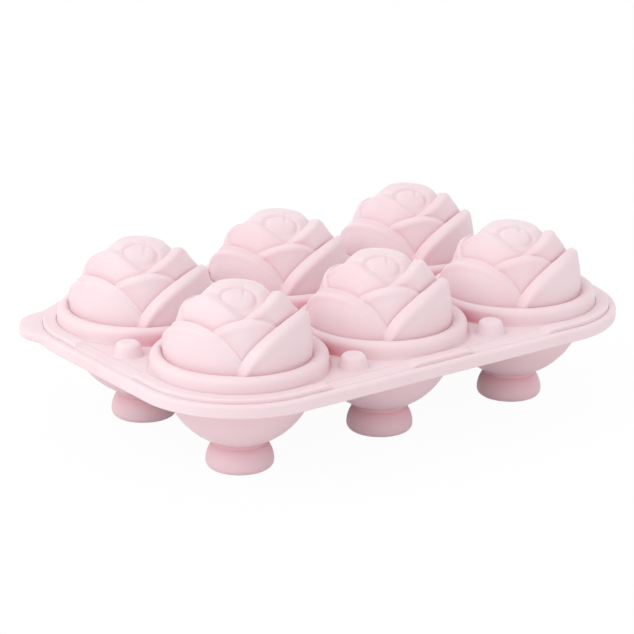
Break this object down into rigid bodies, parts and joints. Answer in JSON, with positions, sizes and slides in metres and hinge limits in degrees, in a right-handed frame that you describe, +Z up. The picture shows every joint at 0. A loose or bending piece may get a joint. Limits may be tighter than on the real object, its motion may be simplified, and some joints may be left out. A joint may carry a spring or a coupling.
{
  "type": "silicone soap mould",
  "caption": "Two-part silicone soap mould: a lift-off half with hollow roses on round collars, over a rimmed base with half-round cups that stand on flared pouring funnels.",
  "frame": {"origin": "under the middle of the mould, on the surface that the funnels stand on", "axes": "+X along the rows of three roses, +Y from the front row to the back row, +Z up, the way the rose half lifts off"},
  "size_m": [0.2031, 0.14, 0.0673],
  "materials": {
    "pink_silicone": "matte to satin moulded silicone rubber"
  },
  "bodies": {
    "base_half": {"base_flange": "pink_silicone", "cup_1": "pink_silicone", "cup_2": "pink_silicone", "cup_3": "pink_silicone", "cup_4": "pink_silicone", "cup_5": "pink_silicone", "cup_6": "pink_silicone", "funnel_foot_1": "pink_silicone", "funnel_foot_2": "pink_silicone", "funnel_foot_3": "pink_silicone", "funnel_foot_4": "pink_silicone", "funnel_foot_5": "pink_silicone", "funnel_foot_6": "pink_silicone", "locating_peg_1": "pink_silicone", "locating_peg_2": "pink_silicone", "locating_peg_3": "pink_silicone", "locating_peg_4": "pink_silicone", "locating_peg_5": "pink_silicone", "locating_peg_6": "pink_silicone"},
    "rose_half": {"rose_flange": "pink_silicone", "rose_1": "pink_silicone", "rose_2": "pink_silicone", "rose_3": "pink_silicone", "rose_4": "pink_silicone", "rose_5": "pink_silicone", "rose_6": "pink_silicone"}
  },
  "joints": [
    {"name": "rose_half_lift", "type": "slide", "parent": "base_half", "child": "rose_half", "axis": [0, 0, 1], "range_m": [0, 0.08]}
  ]
}
